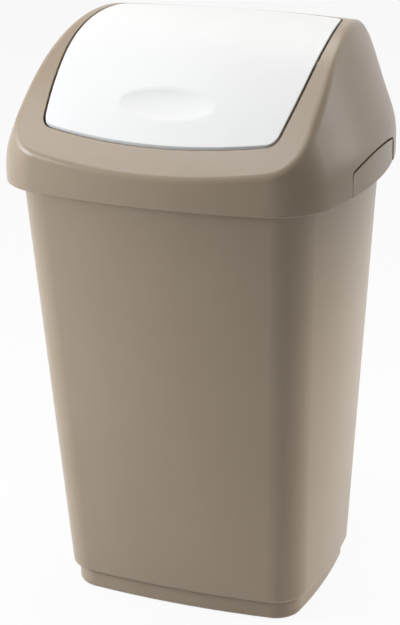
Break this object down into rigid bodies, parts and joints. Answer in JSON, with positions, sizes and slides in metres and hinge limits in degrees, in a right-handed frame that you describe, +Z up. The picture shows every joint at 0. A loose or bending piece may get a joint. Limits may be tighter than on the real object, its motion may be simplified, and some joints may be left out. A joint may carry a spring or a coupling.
{
  "type": "swing bin",
  "caption": "Tapered plastic kitchen bin with a lift-off arched hood and a free-swinging flap with a finger scoop.",
  "frame": {"origin": "middle of the base, on the floor that the bin stands on", "axes": "+Z up, the front with the finger scoop towards -Y, +X to the right seen from the front"},
  "size_m": [0.3384, 0.298, 0.5568],
  "materials": {
    "taupe_plastic": "fine satin moulded",
    "white_plastic": "glossy moulded",
    "pin_plastic": "plain moulded"
  },
  "bodies": {
    "tub": {"tub": "taupe_plastic"},
    "hood": {"hood": "taupe_plastic"},
    "flap": {"swing_flap": "white_plastic", "pivot_pin_left": "pin_plastic", "pivot_pin_right": "pin_plastic"}
  },
  "joints": [
    {"name": "hood_lift", "type": "slide", "parent": "tub", "child": "hood", "axis": [0, 0, 1], "range_m": [0, 0.16]},
    {"name": "flap_swing", "type": "hinge", "parent": "hood", "child": "flap", "pos_m": [0, -0.02512, 0.5325], "axis": [1, 0, 0], "range_deg": [-80, 80]}
  ]
}
